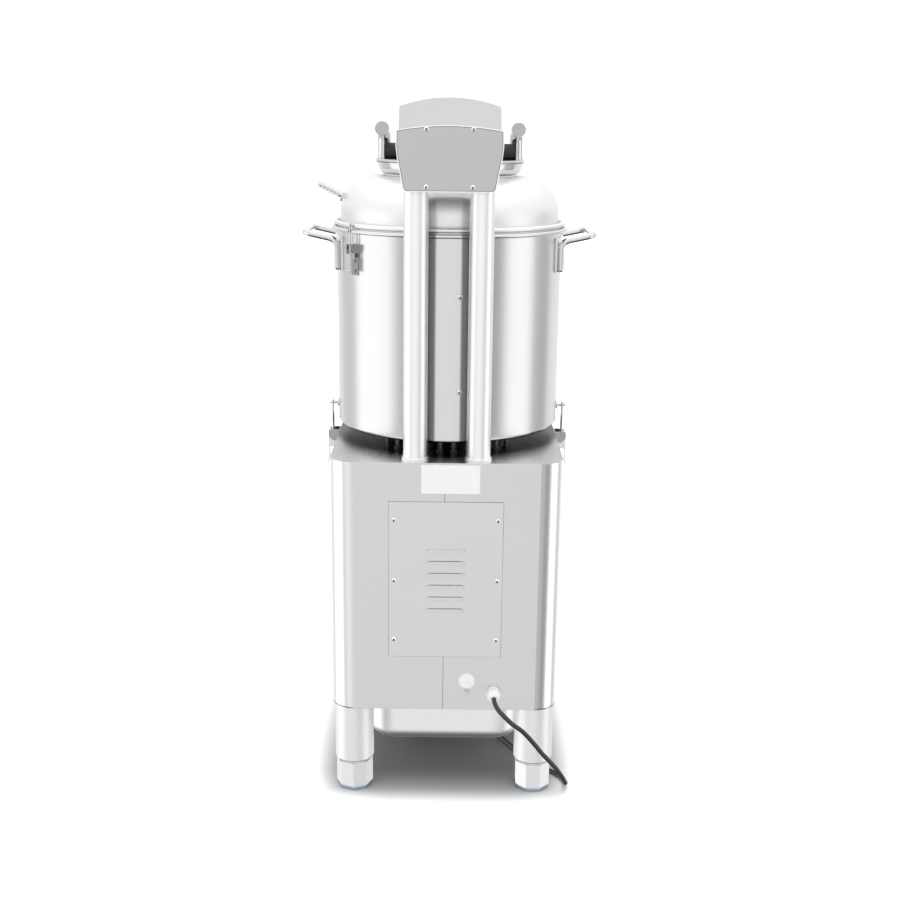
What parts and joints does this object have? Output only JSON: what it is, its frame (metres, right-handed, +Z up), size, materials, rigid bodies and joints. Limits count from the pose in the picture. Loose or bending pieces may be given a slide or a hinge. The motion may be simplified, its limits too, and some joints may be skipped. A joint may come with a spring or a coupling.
{
  "type": "electric potato peeler",
  "caption": "Floor-standing electric potato peeler: abrasive-lined steel drum with a clamped dome lid and feed hatch on a motor cabinet, with rear posts carrying a control head.",
  "frame": {"origin": "on the floor under the middle of the machine's outline, the mains lead left out", "axes": "+Z up, the front with the discharge door faces -Y, the posts and control head are at +Y"},
  "size_m": [0.4816, 0.5538, 1.123],
  "materials": {
    "cabinet_steel": "brushed",
    "leg_steel": "satin, turned",
    "foot_metal": "satin with a protective film at the sole",
    "drum_steel": "brushed round the drum",
    "lid_steel": "satin, spun",
    "funnel_steel": "polished",
    "hatch_steel": "satin",
    "polished_steel": "polished",
    "post_steel": "brushed lengthwise",
    "head_steel": "satin",
    "cover_grey": "satin, grey",
    "fixing_steel": "bright",
    "pan_steel": "pressed, satin",
    "white_plate": "smooth film",
    "white_plastic": "moulded",
    "grey_plastic": "moulded",
    "black_grip": "ribbed",
    "knob_black": "moulded",
    "button_green": "moulded",
    "button_red": "moulded",
    "cord_black": "smooth",
    "seal_rubber": "matt",
    "grit": "coarse abrasive",
    "disc_grit": "coarse abrasive on a cast disc",
    "motor_paint": "painted",
    "machined_steel": "machined",
    "pulley_iron": "turned"
  },
  "bodies": {
    "root": {"cabinet_shell": "cabinet_steel", "base_frame": "cabinet_steel", "legs": "leg_steel", "service_panel": "cabinet_steel", "cover_screws": "fixing_steel", "blank_plates": "white_plate", "earth_stud": "fixing_steel", "cable_gland": "white_plastic", "motor": "motor_paint", "motor_plate": "machined_steel", "drive_belt": "seal_rubber", "bearing_housing": "machined_steel", "bearings": "machined_steel", "drain_pipe": "machined_steel", "drum_shell": "drum_steel", "drum_standoffs": "fixing_steel", "grit_liner": "grit", "liner_bolts": "fixing_steel", "drum_handle_left": "polished_steel", "drum_handle_right": "polished_steel", "chute_frame": "drum_steel", "latch_bases": "polished_steel", "latch_catches": "polished_steel", "dome_lid": "lid_steel", "feed_funnel": "funnel_steel", "hatch_hinge": "hatch_steel", "water_inlet": "polished_steel", "posts": "post_steel", "head_housing": "head_steel", "head_cover": "cover_grey", "cord_tube": "cord_black", "cord_coil": "cord_black", "plug": "cord_black"},
    "hatch": {"hatch_plate": "hatch_steel", "hatch_arms": "polished_steel", "hatch_grip": "black_grip", "arm_plugs": "grey_plastic"},
    "door": {"door": "drum_steel", "door_handle": "polished_steel", "door_seal": "seal_rubber"},
    "turntable": {"peeling_disc": "disc_grit", "drive_shaft": "machined_steel", "drive_pulley": "pulley_iron"},
    "rotor": {"motor_rotor": "pulley_iron"},
    "knob": {"timer_knob": "knob_black"},
    "start": {"start_button": "button_green"},
    "stop": {"stop_button": "button_red"},
    "pan": {"catch_pan": "pan_steel"},
    "foot_rl": {"foot_rear_left": "foot_metal"},
    "foot_rr": {"foot_rear_right": "foot_metal"},
    "foot_fl": {"foot_front_left": "foot_metal"},
    "foot_fr": {"foot_front_right": "foot_metal"},
    "side_lever_l": {"side_lever_left": "polished_steel"},
    "side_loop_l": {"side_loop_left": "polished_steel"},
    "side_lever_r": {"side_lever_right": "polished_steel"},
    "side_loop_r": {"side_loop_right": "polished_steel"},
    "clip_lever_r": {"clip_lever_rear": "polished_steel"},
    "clip_loop_r": {"clip_loop_rear": "polished_steel"},
    "clip_lever_f": {"clip_lever_front": "polished_steel"},
    "clip_loop_f": {"clip_loop_front": "polished_steel"}
  },
  "joints": [
    {"name": "hatch_hinge", "type": "hinge", "parent": "root", "child": "hatch", "pos_m": [0, 0.13792, 1.0266], "axis": [-1, 0, 0], "range_deg": [0, 75]},
    {"name": "door_hinge", "type": "hinge", "parent": "root", "child": "door", "pos_m": [0.082, -0.20758, 0.705], "axis": [0, 0, 1], "range_deg": [0, 110]},
    {"name": "disc_spin", "type": "hinge", "parent": "root", "child": "turntable", "pos_m": [0, 0.00842, 0.52], "axis": [0, 0, 1], "continuous": true},
    {"name": "motor_spin", "type": "hinge", "parent": "root", "child": "rotor", "pos_m": [0, 0.14842, 0.4], "axis": [0, 0, 1], "continuous": true},
    {"name": "timer_turn", "type": "hinge", "parent": "root", "child": "knob", "pos_m": [0, 0.19898, 1.0866], "axis": [0, 0.9845, -0.1754], "range_deg": [0, 300]},
    {"name": "start_press", "type": "slide", "parent": "root", "child": "start", "axis": [0, 0.9845, -0.1754], "range_m": [0, 0.003], "stiffness_N_per_m": 300, "springref_m": -0.002},
    {"name": "stop_press", "type": "slide", "parent": "root", "child": "stop", "axis": [0, 0.9845, -0.1754], "range_m": [0, 0.003], "stiffness_N_per_m": 300, "springref_m": -0.002},
    {"name": "pan_slide", "type": "slide", "parent": "root", "child": "pan", "axis": [1, 0, 0], "range_m": [0, 0.26]},
    {"name": "foot_rl_level", "type": "slide", "parent": "root", "child": "foot_rl", "axis": [0, 0, -1], "range_m": [0, 0.03]},
    {"name": "foot_rr_level", "type": "slide", "parent": "root", "child": "foot_rr", "axis": [0, 0, -1], "range_m": [0, 0.03]},
    {"name": "foot_fl_level", "type": "slide", "parent": "root", "child": "foot_fl", "axis": [0, 0, -1], "range_m": [0, 0.03]},
    {"name": "foot_fr_level", "type": "slide", "parent": "root", "child": "foot_fr", "axis": [0, 0, -1], "range_m": [0, 0.03]},
    {"name": "side_latch_left_open", "type": "hinge", "parent": "root", "child": "side_lever_l", "pos_m": [-0.1995, 0.00842, 0.565], "axis": [0, 1, 0], "range_deg": [0, 90]},
    {"name": "side_latch_left_loop", "type": "hinge", "parent": "side_lever_l", "child": "side_loop_l", "pos_m": [-0.198, 0.00842, 0.558], "axis": [0, 1, 0], "range_deg": [-101, 0]},
    {"name": "side_latch_right_open", "type": "hinge", "parent": "root", "child": "side_lever_r", "pos_m": [0.1995, 0.00842, 0.565], "axis": [0, -1, 0], "range_deg": [0, 90]},
    {"name": "side_latch_right_loop", "type": "hinge", "parent": "side_lever_r", "child": "side_loop_r", "pos_m": [0.198, 0.00842, 0.558], "axis": [0, -1, 0], "range_deg": [-101, 0]},
    {"name": "lid_clip_rear_open", "type": "hinge", "parent": "root", "child": "clip_lever_r", "pos_m": [0.15653, 0.12638, 0.894], "axis": [0.6018, -0.7986, 0], "range_deg": [0, 90]},
    {"name": "lid_clip_rear_loop", "type": "hinge", "parent": "clip_lever_r", "child": "clip_loop_r", "pos_m": [0.15534, 0.12547, 0.887], "axis": [0.6018, -0.7986, 0], "range_deg": [-101, 0]},
    {"name": "lid_clip_front_open", "type": "hinge", "parent": "root", "child": "clip_lever_f", "pos_m": [-0.15653, -0.10954, 0.894], "axis": [-0.6018, 0.7986, 0], "range_deg": [0, 90]},
    {"name": "lid_clip_front_loop", "type": "hinge", "parent": "clip_lever_f", "child": "clip_loop_f", "pos_m": [-0.15534, -0.10863, 0.887], "axis": [-0.6018, 0.7986, 0], "range_deg": [-101, 0]}
  ],
  "couplings": [
    {"joint": "motor_spin", "follows": "disc_spin", "ratio": 3.3077},
    {"joint": "side_latch_left_loop", "follows": "side_latch_left_open", "ratio": -1.111},
    {"joint": "side_latch_right_loop", "follows": "side_latch_right_open", "ratio": -1.111},
    {"joint": "lid_clip_rear_loop", "follows": "lid_clip_rear_open", "ratio": -1.111},
    {"joint": "lid_clip_front_loop", "follows": "lid_clip_front_open", "ratio": -1.111}
  ]
}
